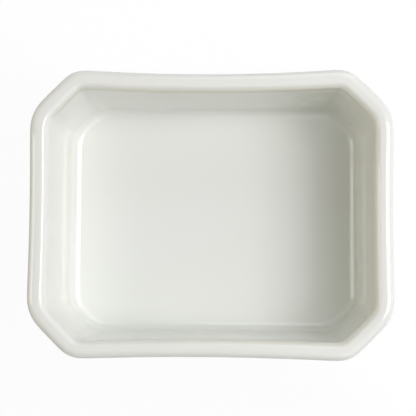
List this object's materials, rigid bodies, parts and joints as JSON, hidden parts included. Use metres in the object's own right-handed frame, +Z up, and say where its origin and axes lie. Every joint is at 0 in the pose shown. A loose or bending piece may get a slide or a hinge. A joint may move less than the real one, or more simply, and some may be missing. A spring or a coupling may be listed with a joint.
{
  "type": "sugar packet holder",
  "caption": "Oblong white porcelain table dish with cut corners, bowed sides, a rolled lip and a bare foot ring, for standing paper sugar packets in.",
  "frame": {"origin": "on the table, under the middle of the dish", "axes": "+X along the longer side, +Z up out of the dish"},
  "size_m": [0.1076, 0.0854, 0.038],
  "materials": {
    "biscuit": "bare fired porcelain, matt and slightly gritty",
    "glaze": "clear glossy glaze over white, faintly warm where it runs thin on edges"
  },
  "bodies": {
    "root": {"porcelain_body": "biscuit", "glaze_coat": "glaze", "underside_glaze": "glaze"}
  },
  "joints": []
}
